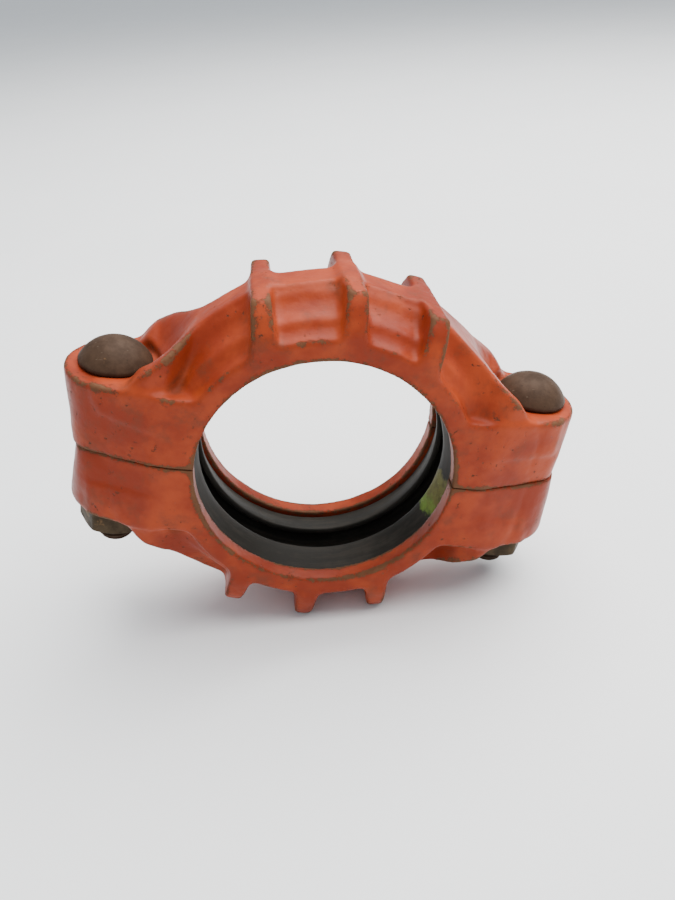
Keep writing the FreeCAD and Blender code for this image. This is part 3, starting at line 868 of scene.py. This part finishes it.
for node, body, shift in (("upper_housing", "top_half", 0.0), ("lower_housing", "base", 40.0)):
    dress(castings[node], enamel_look(f"enamel_{body}", shift), body, node)
dress(gasket, rubber_look(), "base", "gasket")
bolt_finish = steel_look("brown_bolt_steel", (0.036, 0.020, 0.012), (0.058, 0.033, 0.020),
                         (0.20, 0.105, 0.045), 100.0, 0.66)
nut_finish = steel_look("brown_nut_steel", (0.034, 0.023, 0.013), (0.074, 0.050, 0.027),
                        (0.17, 0.095, 0.040), 130.0, 0.60)
for side in ("left", "right"):
    dress(bolts[side], bolt_finish, f"{side}_bolt", f"{side}_bolt")
    dress(nuts[side], nut_finish, f"{side}_nut", f"{side}_nut")

# ---------------------------------------------------------------------------------------
# The floor, the light and the camera

# the coupling leans on its bottom rib and the one next to it, so its own +Z isn't quite upright
UP = Vector((-0.201, 0.0, 0.980)).normalized()


def make_floor():
    """A wide sheet that the coupling's lowest ribs just touch."""
    mesh = castings["lower_housing"].data
    places = np.empty(len(mesh.vertices) * 3, np.float32)
    mesh.vertices.foreach_get("co", places)
    depth = float((places.reshape(-1, 3) @ np.array(UP)).min())
    sheet = bmesh.new()
    bmesh.ops.create_grid(sheet, x_segments=40, y_segments=40, size=6.0)
    mesh = bpy.data.meshes.new("floor_sheet")
    sheet.to_mesh(mesh)
    sheet.free()
    floor = bpy.data.objects.new("floor_sheet", mesh)
    floor.matrix_world = Matrix.Translation(UP * depth) @ UP.to_track_quat("Z", "Y").to_matrix().to_4x4()
    bpy.context.scene.collection.objects.link(floor)
    mesh.materials.append(paper_look())


def soft_light(name, place, target, size, power, colour):
    """A round area light aimed at the target, in metres and watts."""
    data = bpy.data.lights.new(name, "AREA")
    data.shape = "DISK"
    data.size = size
    data.energy = power
    data.color = colour
    light = bpy.data.objects.new(name, data)
    aim = (Vector(target) - Vector(place)).to_track_quat("-Z", "Y")
    light.matrix_world = Matrix.Translation(place) @ aim.to_matrix().to_4x4()
    bpy.context.scene.collection.objects.link(light)


def make_light():
    """Daylight from the room all round and one broad soft light overhead."""
    world = bpy.data.worlds.new("pale_room")
    world.use_nodes = True
    background = world.node_tree.nodes["Background"]
    background.inputs["Color"].default_value = (0.88, 0.94, 1.0, 1.0)
    background.inputs["Strength"].default_value = 0.72
    bpy.context.scene.world = world
    soft_light("overhead", (0.16, 0.26, 1.15), (0, 0.05, 0), 1.8, 57.0, (1.0, 0.985, 0.96))


def make_camera():
    """The photo's view: close, from above and a little to the left, and slightly tilted."""
    place, target = Vector((-35.48, -252.42, 152.42)) * MM, Vector((6.03, -1.86, -1.40)) * MM
    data = bpy.data.cameras.new("camera")
    data.lens = 33.47
    data.sensor_width = 36.0
    data.clip_start = 0.01
    camera = bpy.data.objects.new("camera", data)
    aim = (target - place).to_track_quat("-Z", "Y").to_matrix().to_4x4()
    tilt = Matrix.Rotation(math.radians(9.10), 4, "Z")
    camera.matrix_world = Matrix.Translation(place) @ aim @ tilt
    bpy.context.scene.collection.objects.link(camera)
    bpy.context.scene.camera = camera


make_floor()
make_light()
make_camera()

bpy.context.view_layer.update()
